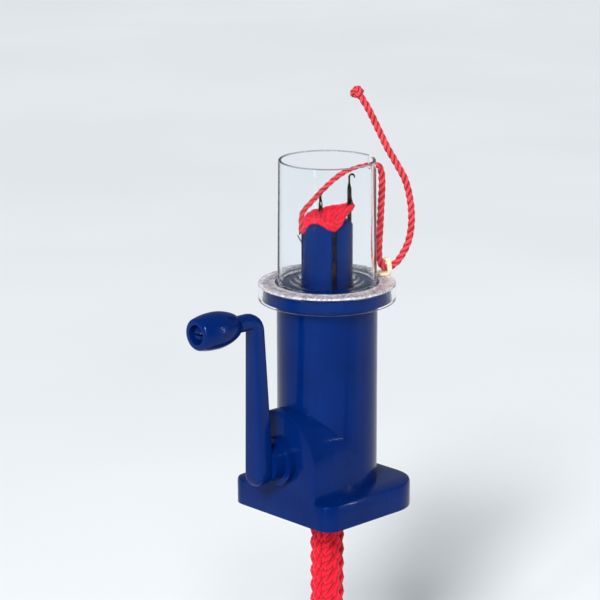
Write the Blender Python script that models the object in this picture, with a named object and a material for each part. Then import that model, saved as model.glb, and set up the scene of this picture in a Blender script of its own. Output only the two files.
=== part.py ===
"""Hand-cranked four-needle cord knitting mill.

A moulded housing stands on a square base. A crank on its -X side turns a bevel gear, which
turns a needle cylinder about the vertical axis. Four latch needles slide in the cylinder's
slots, lifted by two cam rings, under a clear guard with a yarn guide. The knitted cord
leaves through the base. Metres, +Z up, origin at the middle of the base's underside.
"""

import math

import bmesh
import bpy
from mathutils import Matrix, Vector

MM = 0.001
GAP = 0.3  # clearance that touching pieces keep, in millimetres, as all sizes below

# Base
BASE_X_LOW = -30.0
BASE_X_HIGH = 31.5
BASE_HALF_Y = 31.8
BASE_HEIGHT = 11.9
BASE_NEAR_CORNER_R = 7.0  # the two corners on the crank side
BASE_FAR_CORNER_R = 17.0
EDGE_R = 1.2  # the rounding of the base's top edge and the arch housing's face
WALL = 2.2
COVER_THICKNESS = 2.2
POST_R = 3.2
SCREW_HEAD_R = 2.6
SCREW_SHANK_R = 1.0
SCREW_NEAR_INSET = (8.5, 6.5)  # how far the screws are from the base's edges along X and Y
SCREW_FAR_INSET = (9.5, 10.3)

# Column and head
COLUMN_R = 22.5
HEAD_R = 28.6
HEAD_THICKNESS = 5.3
HEAD_TOP = 101.7

# Crank axis, arch housing and gears
AXIS_Z = 27.0
ARCH_R = 22.7
BOSS_R = 11.0
BOSS_LENGTH = 3.4
GEAR_TEETH = 20
GEAR_PITCH_R = 17.0
GEAR_FACE = 5.5
GEAR_BACKING = 4.0
BACKLASH = 0.55
SHAFT_R = 4.0
BUSH_WALL = 1.7
WASHER_R = 5.2

# Crank arm and grip
ARM_NEAR_X = -37.9  # the arm's inner face at the hub
ARM_HUB_THICKNESS = 8.0
ARM_TOP_THICKNESS = 5.8
ARM_LEAN = 3.1  # how much further out the arm stands at the top
ARM_HUB_WIDTH = 10.8
ARM_TOP_WIDTH = 6.9
ARM_TAIL = 8.6  # how far the arm reaches below the crank axis
HUB_R = 8.0
THROW = 67.2
ARM_CORNER_R = 1.3
NECK_R = 3.8
ARM_BEND_R = 4.4  # of the arm's middle line, where it bends outward into the neck
GRIP_PIN_R = 2.3
GRIP_INNER_X = -55.0
GRIP_LENGTH = 22.8
GRIP_MAX_R = 8.2
GRIP_NECK_R = 4.3
GRIP_END_R = 7.2
GRIP_END_ROUNDING = 1.4

# Knitted cord and its passage
CORD_R = 7.9
TUBE_BORE_R = 9.0
TUBE_WALL = 1.5
CYLINDER_BORE_R = 8.3
CORD_HANGS = 110.0  # how far the knitted cord hangs below the base

# Needle cylinder and needles
CYLINDER_R = 11.5
CYLINDER_EDGE_Z = 129.4  # the top edge at the slots
DOME_RISE = 2.5
SLOT_WIDTH = 2.4
SLOT_DEPTH = 2.3
NEEDLE_ANGLES = (152.0, 242.0, 332.0, 62.0)
NEEDLE_LENGTH = 70.0
NEEDLE_THICKNESS = SLOT_WIDTH - 2 * GAP
STEM_DEPTH = SLOT_DEPTH - 2 * GAP
HOOK_R = 1.2
HOOK_WIRE = 0.9
LATCH_DROP = 8.0  # from the hook's top to the latch pivot
LATCH_LENGTH = 6.7
LATCH_DEPTH = 0.6
LATCH_THICKNESS = 0.5
LATCH_EYE_R = 1.1
LATCH_PIN_R = 0.35
LATCH_REST_DEG = (29.5, 29.5, 165.0, 29.5)  # from straight up, outward

# Cams
BUTT_LOW_Z = 57.5
LIFT = 25.0
BUTT_HEIGHT = 3.0
BUTT_TIP_R = 14.6
CAM_BORE_R = 15.0
CAM_PEAK_DEG = 345.0
CAM_RISE_DEG = 120.0
CAM_FALL_DEG = 180.0
CAM_STEPS = 48
LEDGE_Z = 52.0
LEDGE_THICKNESS = 2.0

# Guard, guide and yarn
GUARD_TOP_R = 21.5
GUARD_FOOT_R = 22.1
GUARD_WALL = 1.4
GUARD_RIM_Z = 159.0
FLANGE_R = 30.7
FLANGE_THICKNESS = 1.8
SKIRT_DROP = 7.9
NOTCH_DEG = -22.0
NOTCH_WIDTH = 5.6
NOTCH_DEPTH = 6.2
GUIDE_DEG = -19.4
GUIDE_R = 29.3
GUIDE_HOLE_R = 2.8
GUIDE_RIM = 1.5
GUIDE_THICKNESS = 2.2
YARN_R = 1.65
STRAND_R = 1.25  # of the working yarn inside the guard, which is pulled thin
KNIT_TOP_FOOT_Z = 116.0

# Derived heights
FLANGE_TOP = HEAD_TOP + GAP + FLANGE_THICKNESS
GUIDE_Z = FLANGE_TOP + GAP + GUIDE_RIM + GUIDE_HOLE_R - 1.0
COLUMN_BORE_R = COLUMN_R - WALL
ARCH_BORE_R = ARCH_R - WALL
TUBE_R = TUBE_BORE_R + TUBE_WALL
CONE_DISTANCE = GEAR_PITCH_R * math.sqrt(2)
MODULE = 2 * GEAR_PITCH_R / GEAR_TEETH
GEAR_BACK = GEAR_PITCH_R + GEAR_BACKING  # how far a gear's back face is from the apex
TUBE_TOP_Z = AXIS_Z + GEAR_BACK
CYLINDER_FOOT_Z = TUBE_TOP_Z + GAP
SLOT_FOOT_Z = CYLINDER_FOOT_Z + 5.5
BUSH_R = SHAFT_R + GAP + BUSH_WALL
GRIP_Z = AXIS_Z + THROW
POST_FOOT_Z = COVER_THICKNESS + GAP
BASE_ROOF_Z = BASE_HEIGHT - WALL

# The yarn's route, in millimetres: from inside the rim notch, down to the guide, up to its held end
YARN_ROUTE = (
    (19.2, -7.5, 154.9),
    (21.2, -8.4, 154.8),
    (23.2, -9.3, 153.9),
    (24.2, -9.7, 151.0),
    (24.4, -9.9, 145.0),
    (24.2, -9.6, 136.0),
    (24.3, -8.9, 126.0),
    (24.2, -8.4, 117.6),
    (24.4, -8.4, 112.0),
    (25.7, -9.0, 108.2),
    (27.8, -9.8, 107.2),
    (29.9, -10.7, 107.5),
    (32.4, -13.0, 110.6),
    (34.9, -15.9, 118.0),
    (36.0, -17.0, 126.5),
    (35.8, -16.7, 136.0),
    (34.4, -15.0, 146.0),
    (31.8, -12.2, 153.6),
    (28.6, -9.0, 161.4),
    (25.3, -6.1, 170.5),
    (21.8, -2.8, 180.2),
    (18.4, 0.6, 187.5),
)
STRAND_ROUTE = (
    (18.6, -7.2, 154.9),
    (14.6, -3.6, 153.6),
    (10.6, -0.6, 151.6),
    (6.4, 2.2, 148.3),
    (1.6, 4.6, 143.8),
    (-3.4, 6.6, 138.8),
    (-8.4, 8.0, 133.9),
    (-12.0, 8.0, 129.9),
)


def material(name, color, roughness, metallic=0.0, alpha=1.0):
    """A Principled material, made once for each name."""
    if name in bpy.data.materials:
        return bpy.data.materials[name]
    made = bpy.data.materials.new(name)
    made.use_nodes = True
    shader = made.node_tree.nodes["Principled BSDF"]
    shader.inputs["Base Color"].default_value = (*color, 1.0)
    shader.inputs["Roughness"].default_value = roughness
    shader.inputs["Metallic"].default_value = metallic
    shader.inputs["Alpha"].default_value = alpha
    return made


def navy():
    return material("navy_plastic", (0.005, 0.016, 0.12), 0.22)


def white_plastic():
    return material("inner_plastic", (0.75, 0.75, 0.73), 0.4)


def clear():
    return material("clear_plastic", (0.9, 0.93, 0.95), 0.05, alpha=0.3)


def steel():
    return material("steel", (0.5, 0.5, 0.52), 0.3, metallic=1.0)


def red_yarn():
    return material("red_yarn", (0.72, 0.01, 0.03), 0.85)


def finish_mesh(name, mesh_edit, look, sharp=35.0):
    """Makes the named object from an edited mesh, in metres, faces out, round parts smooth."""
    bmesh.ops.remove_doubles(mesh_edit, verts=mesh_edit.verts, dist=1e-6)
    bmesh.ops.recalc_face_normals(mesh_edit, faces=mesh_edit.faces)
    mesh = bpy.data.meshes.new(name)
    mesh_edit.to_mesh(mesh)
    mesh_edit.free()
    made = bpy.data.objects.new(name, mesh)
    bpy.context.scene.collection.objects.link(made)
    mesh.materials.append(look)
    mesh.shade_smooth()
    mesh.set_sharp_from_angle(angle=math.radians(sharp))
    return made


def place(points, matrix):
    return [matrix @ (Vector(p) * MM) for p in points]


def rings(name, loops, look, matrix=Matrix(), closed=False):
    """A skin over loops of points, each the same length: caps at both ends, or a closed tube."""
    edit = bmesh.new()
    made = [[edit.verts.new(p) for p in place(loop, matrix)] for loop in loops]
    pairs = list(zip(made, made[1:]))
    if closed:
        pairs.append((made[-1], made[0]))
    for low, high in pairs:
        for i in range(len(low)):
            j = (i + 1) % len(low)
            edit.faces.new((low[i], low[j], high[j], high[i]))
    if not closed:
        edit.faces.new(made[0])
        edit.faces.new(made[-1])
    return finish_mesh(name, edit, look)


def circle(radius, z, count):
    turn = 2 * math.pi / count
    return [(radius * math.cos(i * turn), radius * math.sin(i * turn), z) for i in range(count)]


def turned(name, profile, count, look, matrix=Matrix(), closed=True):
    """A body turned about Z. A closed profile is a ring's section, an open one has end caps."""
    return rings(name, [circle(r, z, count) for r, z in profile], look, matrix, closed)


def prism(name, outline, low, high, look, matrix=Matrix()):
    """An outline in XY, extruded from low to high along Z."""
    loops = [[(x, y, z) for x, y in outline] for z in (low, high)]
    return rings(name, loops, look, matrix)


def box(name, low, high, look, matrix=Matrix()):
    outline = ((low[0], low[1]), (high[0], low[1]), (high[0], high[1]), (low[0], high[1]))
    return prism(name, outline, low[2], high[2], look, matrix)


def weld_slivers(mesh):
    """Merges the points that a Boolean leaves closer together than a thousandth of a millimetre."""
    edit = bmesh.new()
    edit.from_mesh(mesh)
    bmesh.ops.remove_doubles(edit, verts=edit.verts, dist=0.001 * MM)
    edit.to_mesh(mesh)
    edit.free()


def combine(target, tool, operation):
    """Applies an exact Boolean and removes the tool."""
    step = target.modifiers.new("step", "BOOLEAN")
    step.operation = operation
    step.solver = "EXACT"
    step.object = tool
    graph = bpy.context.evaluated_depsgraph_get()
    mesh = bpy.data.meshes.new_from_object(target.evaluated_get(graph))
    target.modifiers.remove(step)
    target.data = mesh
    weld_slivers(mesh)
    mesh.shade_smooth()
    mesh.set_sharp_from_angle(angle=math.radians(35.0))
    bpy.data.objects.remove(tool)


def cut(target, tool):
    combine(target, tool, "DIFFERENCE")


def join(target, tool):
    combine(target, tool, "UNION")


def along_x(x=0.0, z=AXIS_Z):
    """Turns a body made about Z so that its axis points along -X from the place (x, 0, z)."""
    return Matrix.Translation(Vector((x, 0.0, z)) * MM) @ Matrix.Rotation(-math.pi / 2, 4, "Y")


def facing(angle_deg):
    """A frame whose X is outward at that angle about the main axis and whose Z stays up."""
    return Matrix.Rotation(math.radians(angle_deg), 4, "Z")


def arc(center, radius, first, last, count):
    """Points of an arc from the first to the last angle, in degrees."""
    turn = math.radians(last - first) / (count - 1)
    start = math.radians(first)
    return [
        (
            center[0] + radius * math.cos(start + i * turn),
            center[1] + radius * math.sin(start + i * turn),
        )
        for i in range(count)
    ]


def base_outline(inset):
    """The base's outline, moved in by inset."""
    near = BASE_NEAR_CORNER_R - inset
    far = BASE_FAR_CORNER_R - inset
    left = BASE_X_LOW + BASE_NEAR_CORNER_R
    right = BASE_X_HIGH - BASE_FAR_CORNER_R
    near_y = BASE_HALF_Y - BASE_NEAR_CORNER_R
    far_y = BASE_HALF_Y - BASE_FAR_CORNER_R
    return (
        arc((right, -far_y), far, -90, 0, 9)
        + arc((right, far_y), far, 0, 90, 9)
        + arc((left, near_y), near, 90, 180, 6)
        + arc((left, -near_y), near, 180, 270, 6)
    )


def arch_outline(radius, foot):
    """The arch housing's section, seen along X: a half round on straight legs."""
    legs = [(-radius, foot - AXIS_Z), (radius, foot - AXIS_Z)]
    return legs + arc((0, 0), radius, 0, 180, 25)


def arch_matrix():
    """Takes section coordinates (y, height above the axis, x) to the object's."""
    turn = Matrix(((0, 0, 1, 0), (1, 0, 0, 0), (0, 1, 0, 0), (0, 0, 0, 1)))
    return Matrix.Translation(Vector((0, 0, AXIS_Z * MM))) @ turn


def screw_places():
    near_x = BASE_X_LOW + SCREW_NEAR_INSET[0]
    near_y = BASE_HALF_Y - SCREW_NEAR_INSET[1]
    far_x = BASE_X_HIGH - SCREW_FAR_INSET[0]
    far_y = BASE_HALF_Y - SCREW_FAR_INSET[1]
    return ((near_x, -near_y), (near_x, near_y), (far_x, -far_y), (far_x, far_y))


def main_housing():
    edges = ((0, 0), (0, BASE_HEIGHT - EDGE_R), (0.3 * EDGE_R, BASE_HEIGHT - 0.3 * EDGE_R),
             (EDGE_R, BASE_HEIGHT))
    slab = [[(x, y, z) for x, y in base_outline(inset)] for inset, z in edges]
    body = rings("main_housing", slab, navy())
    face_x = BASE_X_LOW
    steps = ((EDGE_R, face_x), (0.3 * EDGE_R, face_x + 0.3 * EDGE_R), (0, face_x + EDGE_R), (0, 0))
    arch_shell = [[(y, z, x) for y, z in arch_outline(ARCH_R - inset, 1.0)] for inset, x in steps]
    join(body, rings("arch", arch_shell, navy(), arch_matrix()))
    join(body, turned("boss", ((BOSS_R, 0), (BOSS_R, BOSS_LENGTH + 1)), 32, navy(),
                      along_x(face_x + 1), closed=False))
    head_foot = HEAD_TOP - HEAD_THICKNESS
    column = ((COLUMN_R, 1.0), (COLUMN_R, head_foot), (HEAD_R, head_foot), (HEAD_R, HEAD_TOP))
    join(body, turned("column", column, 48, navy(), closed=False))
    cavity = base_outline(WALL)
    cut(body, prism("cavity", cavity, -1, BASE_ROOF_Z, navy()))
    arch = arch_outline(ARCH_BORE_R, BASE_ROOF_Z - 1)
    cut(body, prism("arch_cavity", arch, face_x + WALL, 0, navy(), arch_matrix()))
    bore = ((COLUMN_BORE_R, BASE_ROOF_Z - 1), (COLUMN_BORE_R, HEAD_TOP + 1))
    cut(body, turned("bore", bore, 48, navy(), closed=False))
    shaft_hole = ((BUSH_R + GAP, -1), (BUSH_R + GAP, BOSS_LENGTH + WALL + 2))
    cut(body, turned("shaft_hole", shaft_hole, 24, navy(), along_x(face_x + WALL), closed=False))
    ledge = (
        (CAM_BORE_R + 2.5, LEDGE_Z),
        (COLUMN_BORE_R + 0.5, LEDGE_Z),
        (COLUMN_BORE_R + 0.5, LEDGE_Z + LEDGE_THICKNESS),
        (CAM_BORE_R + 2.5, LEDGE_Z + LEDGE_THICKNESS),
    )
    join(body, turned("ledge", ledge, 48, navy()))
    for x, y in screw_places():
        spot = Matrix.Translation(Vector((x, y, 0)) * MM)
        post = ((POST_R, POST_FOOT_Z), (POST_R, BASE_ROOF_Z + 0.5))
        join(body, turned("post", post, 16, navy(), spot, closed=False))
        pilot = ((SCREW_SHANK_R + GAP, 0), (SCREW_SHANK_R + GAP, BASE_ROOF_Z - 0.5))
        cut(body, turned("pilot", pilot, 12, navy(), spot, closed=False))
    return body


def bottom_cover():
    plate = prism("bottom_cover", base_outline(WALL + GAP), 0, COVER_THICKNESS, navy())
    passage = ((TUBE_BORE_R, -1), (TUBE_BORE_R, COVER_THICKNESS + 1))
    cut(plate, turned("passage", passage, 32, navy(), closed=False))
    head_depth = 1.4
    for x, y in screw_places():
        spot = Matrix.Translation(Vector((x, y, 0)) * MM)
        seat = SCREW_HEAD_R + GAP
        sink = (
            (seat, -1),
            (seat, head_depth),
            (SCREW_SHANK_R + GAP, head_depth + 0.01),
            (SCREW_SHANK_R + GAP, COVER_THICKNESS + 1),
        )
        cut(plate, turned("sink", sink, 12, navy(), spot, closed=False))


def cover_screws():
    head_low = 0.2
    head_high = 1.1
    for number, (x, y) in enumerate(screw_places(), 1):
        spot = Matrix.Translation(Vector((x, y, 0)) * MM)
        profile = (
            (SCREW_HEAD_R * 0.8, head_low),
            (SCREW_HEAD_R, head_low + 0.3),
            (SCREW_HEAD_R, head_high),
            (SCREW_SHANK_R, head_high + 0.01),
            (SCREW_SHANK_R, BASE_ROOF_Z - 1.5),
        )
        screw = turned(f"cover_screw_{number}", profile, 12, steel(), spot, closed=False)
        slot = box("slot", (-0.3, -1.9, 0), (0.3, 1.9, head_low + 0.45), steel(), spot)
        cut(screw, slot)


def cord_tube():
    foot = COVER_THICKNESS + GAP
    flange_r = TUBE_R + 2.5
    profile = (
        (TUBE_BORE_R, foot),
        (flange_r, foot),
        (flange_r, foot + 1.5),
        (TUBE_R, foot + 1.6),
        (TUBE_R, TUBE_TOP_Z),
        (TUBE_BORE_R, TUBE_TOP_Z),
    )
    turned("cord_tube", profile, 32, white_plastic())


def lift_at(angle_deg):
    """How far the cams have lifted a butt that stands at that angle."""
    past = (angle_deg - CAM_PEAK_DEG + 180.0) % 360.0 - 180.0
    width = CAM_FALL_DEG if past >= 0 else CAM_RISE_DEG
    share = min(abs(past) / width, 1.0)
    return LIFT * 0.5 * (1 + math.cos(math.pi * share))


def cam_ring(name, sections):
    """A ring whose section, a closed list of (radius, height), changes with the angle."""
    loops = []
    for step in range(CAM_STEPS):
        angle = 360.0 * step / CAM_STEPS
        c, s = math.cos(math.radians(angle)), math.sin(math.radians(angle))
        loops.append([(r * c, r * s, z) for r, z in sections(angle)])
    return rings(name, loops, white_plastic(), closed=True)


def lower_cam():
    foot = LEDGE_Z + LEDGE_THICKNESS + GAP
    outer = COLUMN_BORE_R - GAP

    def section(angle):
        top = BUTT_LOW_Z + lift_at(angle) - GAP
        return ((CAM_BORE_R, foot), (outer, foot), (outer, top), (CAM_BORE_R, top))

    cam_ring("lower_cam", section)


def upper_cam():
    outer = COLUMN_BORE_R - GAP
    neck = CYLINDER_R + 0.5
    shoulder = BUTT_LOW_Z + LIFT + BUTT_HEIGHT + 2.0

    def section(angle):
        low = BUTT_LOW_Z + lift_at(angle) + BUTT_HEIGHT + GAP
        return (
            (CAM_BORE_R, low),
            (outer, low),
            (outer, HEAD_TOP),
            (neck, HEAD_TOP),
            (neck, shoulder + 1.5),
            (CAM_BORE_R, shoulder),
        )

    cam_ring("upper_cam", section)


def involute(angle):
    return math.tan(angle) - angle


def tooth_half_angle(height):
    """Half of a tooth's angle about the gear's axis, at a height above the pitch cone."""
    virtual_r = CONE_DISTANCE
    pressure = math.radians(20.0)
    base_r = virtual_r * math.cos(pressure)
    radius = max(virtual_r + height, base_r)
    thickness = math.pi * MODULE / 2 - BACKLASH
    half = thickness / 2 / virtual_r + involute(pressure) - involute(math.acos(base_r / radius))
    return half / math.cos(math.radians(45.0))


def tooth_loop(distance, phase):
    """The toothed outline at a distance from the apex, on the cone about Z."""
    addendum = 0.9 * MODULE
    dedendum = 1.2 * MODULE
    points = []
    for tooth in range(GEAR_TEETH):
        middle = phase + 2 * math.pi * tooth / GEAR_TEETH
        heights = (-dedendum, 0.0, addendum, addendum, 0.0, -dedendum)
        for number, height in enumerate(heights):
            side = -1 if number < 3 else 1
            turn = middle + side * tooth_half_angle(height)
            cone = math.radians(45.0) + height / CONE_DISTANCE
            r = distance * math.sin(cone)
            points.append((r * math.cos(turn), r * math.sin(turn), distance * math.cos(cone)))
    return points


def gear_circle(radius, z, phase):
    """A circle with the points of a toothed outline, at the same angles."""
    loop = []
    for x, y, _ in tooth_loop(CONE_DISTANCE, phase):
        size = math.hypot(x, y)
        loop.append((radius * x / size, radius * y / size, z))
    return loop


def bevel_gear(name, phase, bore, hub, recess, matrix):
    """A bevel gear about Z with its apex at the origin. The hub stands behind its back face."""
    near = CONE_DISTANCE - GEAR_FACE
    face_z = near * math.cos(math.radians(45.0)) + 1.2
    back_r = GEAR_PITCH_R - 2.4
    hub_r, hub_z = hub
    loops = [
        tooth_loop(near, phase),
        tooth_loop(CONE_DISTANCE, phase),
        gear_circle(back_r, GEAR_BACK, phase),
        gear_circle(hub_r, GEAR_BACK + 0.01, phase),
        gear_circle(hub_r, hub_z, phase),
        gear_circle(bore, hub_z, phase),
    ]
    if recess:
        recess_r, recess_z = recess
        loops.append(gear_circle(bore, recess_z, phase))
        loops.append(gear_circle(recess_r, recess_z, phase))
        loops.append(gear_circle(recess_r, face_z, phase))
    else:
        loops.append(gear_circle(bore, face_z, phase))
    return rings(name, loops, white_plastic(), matrix, closed=True)


def shaft_end():
    """How far from the apex the crank shaft ends, where its screw holds the drive gear."""
    return CONE_DISTANCE * math.cos(math.radians(45.0)) - 0.4


def gears():
    half_pitch = math.pi / GEAR_TEETH
    apex = Matrix.Translation(Vector((0, 0, AXIS_Z)) * MM)
    drive_hub_z = -BASE_X_LOW - WALL - 3.2
    recess = (WASHER_R + GAP + 0.6, shaft_end() - 0.1)
    bevel_gear("drive_gear", 0.0, SHAFT_R + GAP, (7.0, drive_hub_z), recess, along_x())
    collar_r = CYLINDER_R + GAP
    crown = bevel_gear("crown_gear", half_pitch, TUBE_R + GAP, (collar_r + 1.8, GEAR_BACK + 4.6),
                       None, apex)
    seat = ((collar_r, CYLINDER_FOOT_Z - GAP), (collar_r, CYLINDER_FOOT_Z + 8))
    cut(crown, turned("seat", seat, 32, navy(), closed=False))


def crank_shaft():
    """The shaft, with a keyed tail in the arm and a tapped end for the gear screw."""
    tail_x = ARM_NEAR_X - 4.0
    length = -tail_x - shaft_end()
    shaft = turned("crank_shaft", ((SHAFT_R, 0), (SHAFT_R, length)), 20, steel(),
                   along_x(-shaft_end()), closed=False)
    thread = ((SCREW_SHANK_R + 0.5 + GAP, -1), (SCREW_SHANK_R + 0.5 + GAP, 8))
    cut(shaft, turned("thread", thread, 12, steel(), along_x(-shaft_end()), closed=False))


def gear_fastening():
    front = shaft_end() - GAP - 0.1
    thick = 0.7
    washer_bore = SCREW_SHANK_R + 0.5 + GAP
    ring = ((washer_bore, 0), (WASHER_R, 0), (WASHER_R, thick), (washer_bore, thick))
    turned("gear_washer", ring, 20, steel(), along_x(-(front - thick)))
    head_back = front - thick - GAP
    head = 1.7
    profile = (
        (2.4, head_back - head),
        (3.0, head_back - head + 0.5),
        (3.0, head_back),
        (SCREW_SHANK_R + 0.5, head_back + 0.01),
        (SCREW_SHANK_R + 0.5, shaft_end() + 6.5),
    )
    screw = turned("gear_screw", profile, 16, steel(), along_x(), closed=False)
    slot = box("slot", (-0.35, -2.2, head_back - head - 1), (0.35, 2.2, head_back - head + 0.8),
               steel(), along_x())
    cut(screw, slot)


def shaft_bush():
    """A flanged sleeve through the housing's face, running on the shaft."""
    bore = SHAFT_R + GAP
    flange = BUSH_R + 2.0
    inner = -BASE_X_LOW - WALL - GAP
    outer = -BASE_X_LOW + BOSS_LENGTH - 0.2
    profile = ((bore, inner - 1.8), (flange, inner - 1.8), (flange, inner), (BUSH_R, inner + 0.01),
               (BUSH_R, outer), (bore, outer))
    turned("shaft_bush", profile, 24, white_plastic(), along_x())


def arm_section(height):
    """The arm's (inner x, outer x, half width) at a height above the crank axis."""
    share = max(0.0, height / THROW)
    inner = ARM_NEAR_X - ARM_LEAN * share
    thickness = ARM_HUB_THICKNESS + (ARM_TOP_THICKNESS - ARM_HUB_THICKNESS) * share
    half = 0.5 * (ARM_HUB_WIDTH + (ARM_TOP_WIDTH - ARM_HUB_WIDTH) * share)
    return inner, inner - thickness, half


def rounded_bar(half_thickness, half_width, corner):
    """A rectangle with round corners, as (across the thickness, across the width)."""
    a = half_thickness - corner
    w = half_width - corner
    corners = ((a, w, 0), (-a, w, 90), (-a, -w, 180), (a, -w, 270))
    return [point for x, y, turn in corners for point in arc((x, y), corner, turn, turn + 90, 5)]


def arm_blade():
    """The arm: a tapered bar with a round tail, which bends outward into the grip's neck."""
    loops = []

    def add(center, normal, half_thickness, half_width, corner):
        """A section across the arm's path, whose normal points to the arm's inner side."""
        x, z = center
        section = rounded_bar(half_thickness, half_width, corner)
        loops.append([(x + a * normal[0], w, z + a * normal[1]) for a, w in section])

    inner, outer, half = arm_section(0)
    for turn_deg, share in ((78, 0.72), (66, 0.88), (50, 0.97), (34, 1.0), (17, 1.0)):
        turn = math.radians(turn_deg)
        height = half - ARM_TAIL - half * math.sin(turn)
        wide = half * math.cos(turn)
        thin = (inner - outer) / 2 * share
        add(((inner + outer) / 2, height), (1, 0), thin, wide, min(ARM_CORNER_R, 0.9 * wide))
    for height in (half - ARM_TAIL, 0.0, THROW / 2, THROW - ARM_BEND_R):
        inner, outer, half = arm_section(height)
        add(((inner + outer) / 2, height), (1, 0), (inner - outer) / 2, half, ARM_CORNER_R)
    middle = (inner + outer) / 2
    thin = (inner - outer) / 2
    bend_steps = 6
    for step in range(1, bend_steps + 1):
        share = step / bend_steps
        turn = math.radians(90.0 * share)
        across = thin + (NECK_R - thin) * share
        wide = half + (NECK_R - half) * share
        corner = ARM_CORNER_R + (0.98 * NECK_R - ARM_CORNER_R) * share
        normal = (math.cos(turn), math.sin(turn))
        center = (middle - ARM_BEND_R * (1 - normal[0]), THROW - ARM_BEND_R * (1 - normal[1]))
        add(center, normal, across, wide, corner)
    neck_end = GRIP_INNER_X + GAP
    add((neck_end + 0.4, THROW), (0, 1), NECK_R, NECK_R, 0.98 * NECK_R)
    add((neck_end, THROW), (0, 1), NECK_R - 0.4, NECK_R - 0.4, 0.98 * (NECK_R - 0.4))
    shift = Matrix.Translation(Vector((0, 0, AXIS_Z)) * MM)
    return rings("crank_arm", loops, navy(), shift)


def crank_arm():
    arm = arm_blade()
    hub_tip = -BASE_X_LOW + BOSS_LENGTH + GAP
    join(arm, turned("hub", ((HUB_R, hub_tip), (HUB_R, -ARM_NEAR_X + 1.2)), 28, navy(),
                     along_x(), closed=False))
    grip_end = -GRIP_INNER_X + GRIP_LENGTH
    pin = (
        (GRIP_PIN_R, -GRIP_INNER_X - 3.0),
        (GRIP_PIN_R, grip_end - 2.9),
        (GRIP_PIN_R + 0.9, grip_end - 2.6),
        (GRIP_PIN_R + 0.9, grip_end - 1.9),
        (GRIP_PIN_R - 0.4, grip_end - 0.9),
    )
    join(arm, turned("pin", pin, 20, navy(), along_x(z=GRIP_Z), closed=False))
    split = box("split", (-0.45, -5, grip_end - 14), (0.45, 5, grip_end + 1), navy(),
                along_x(z=GRIP_Z))
    cut(arm, split)
    socket = ((SHAFT_R + GAP, 0), (SHAFT_R + GAP, -ARM_NEAR_X + 4.0 + GAP))
    cut(arm, turned("socket", socket, 20, navy(), along_x(), closed=False))


def grip_radius(share):
    """The grip's radius from its neck, 0, to its outer end, 1: a barrel, widest near the end."""
    widest = 0.6
    if share < widest:
        return GRIP_NECK_R + (GRIP_MAX_R - GRIP_NECK_R) * math.sin(0.5 * math.pi * share / widest) ** 0.7
    past = (share - widest) / (1 - widest)
    return GRIP_MAX_R - (GRIP_MAX_R - GRIP_END_R) * past**2.2


def grip():
    start = -GRIP_INNER_X
    end = start + GRIP_LENGTH
    bore = GRIP_PIN_R + GAP
    recess = GRIP_PIN_R + 0.9 + 1.2
    profile = [(bore, start)]
    barrel = GRIP_LENGTH - GRIP_END_ROUNDING
    profile += [(grip_radius(i / 14), start + barrel * i / 14) for i in range(14)]
    rounding_center = (GRIP_END_R - GRIP_END_ROUNDING, end - GRIP_END_ROUNDING)
    profile += arc(rounding_center, GRIP_END_ROUNDING, 0, 90, 5)
    profile += [(recess, end), (recess, end - 2.9 - GAP), (bore, end - 2.9 - GAP)]
    turned("grip", profile, 28, navy(), along_x(z=GRIP_Z))


def needle_cylinder():
    """The rotor: a slotted tube whose top edge rises in a dome between the slots."""
    count = 64
    first = math.radians(NEEDLE_ANGLES[0])

    def level(radius, z, dome):
        loop = []
        for i in range(count):
            angle = 2 * math.pi * i / count
            rise = DOME_RISE * 0.5 * (1 - math.cos(4 * (angle - first))) if dome else 0.0
            loop.append((radius * math.cos(angle), radius * math.sin(angle), z + rise))
        return loop

    loops = [
        level(CYLINDER_BORE_R, CYLINDER_FOOT_Z, False),
        level(CYLINDER_R, CYLINDER_FOOT_Z, False),
        level(CYLINDER_R, CYLINDER_EDGE_Z - 0.5, True),
        level(CYLINDER_R - 0.6, CYLINDER_EDGE_Z, True),
        level(CYLINDER_BORE_R, CYLINDER_EDGE_Z, True),
    ]
    body = rings("needle_cylinder", loops, navy(), closed=True)
    for angle in NEEDLE_ANGLES:
        low = (CYLINDER_R - SLOT_DEPTH, -SLOT_WIDTH / 2, SLOT_FOOT_Z)
        high = (CYLINDER_R + 2, SLOT_WIDTH / 2, CYLINDER_EDGE_Z + 5)
        cut(body, box("slot", low, high, navy(), facing(angle)))


def stem_back():
    return CYLINDER_R - SLOT_DEPTH + GAP


def pivot_r():
    return stem_back() + STEM_DEPTH / 2


def needle_outline(foot_z):
    """The needle's side view: butt, stem and hook, as (radius, height)."""
    top_z = foot_z + NEEDLE_LENGTH
    back = stem_back()
    front = back + STEM_DEPTH
    center = (back + 0.3 + HOOK_WIRE / 2 + HOOK_R, top_z - HOOK_WIRE / 2 - HOOK_R)
    outline = [
        (back, foot_z),
        (BUTT_TIP_R, foot_z),
        (BUTT_TIP_R, foot_z + BUTT_HEIGHT),
        (front, foot_z + BUTT_HEIGHT),
        (front, top_z - 5.2),
        (center[0] - HOOK_R + HOOK_WIRE / 2, top_z - 4.2),
    ]
    outline += arc(center, HOOK_R - HOOK_WIRE / 2, 180, -20, 8)
    outline += arc(center, HOOK_R + HOOK_WIRE / 2, -20, 180, 9)
    outline += [(back + 0.3, top_z - 4.2), (back, top_z - 5.2)]
    return outline


def upright(angle_deg):
    """Takes side-view coordinates (radius, height, sideways) to the object's, at that angle."""
    stand = Matrix(((1, 0, 0, 0), (0, 0, -1, 0), (0, 1, 0, 0), (0, 0, 0, 1)))
    return facing(angle_deg) @ stand


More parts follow.
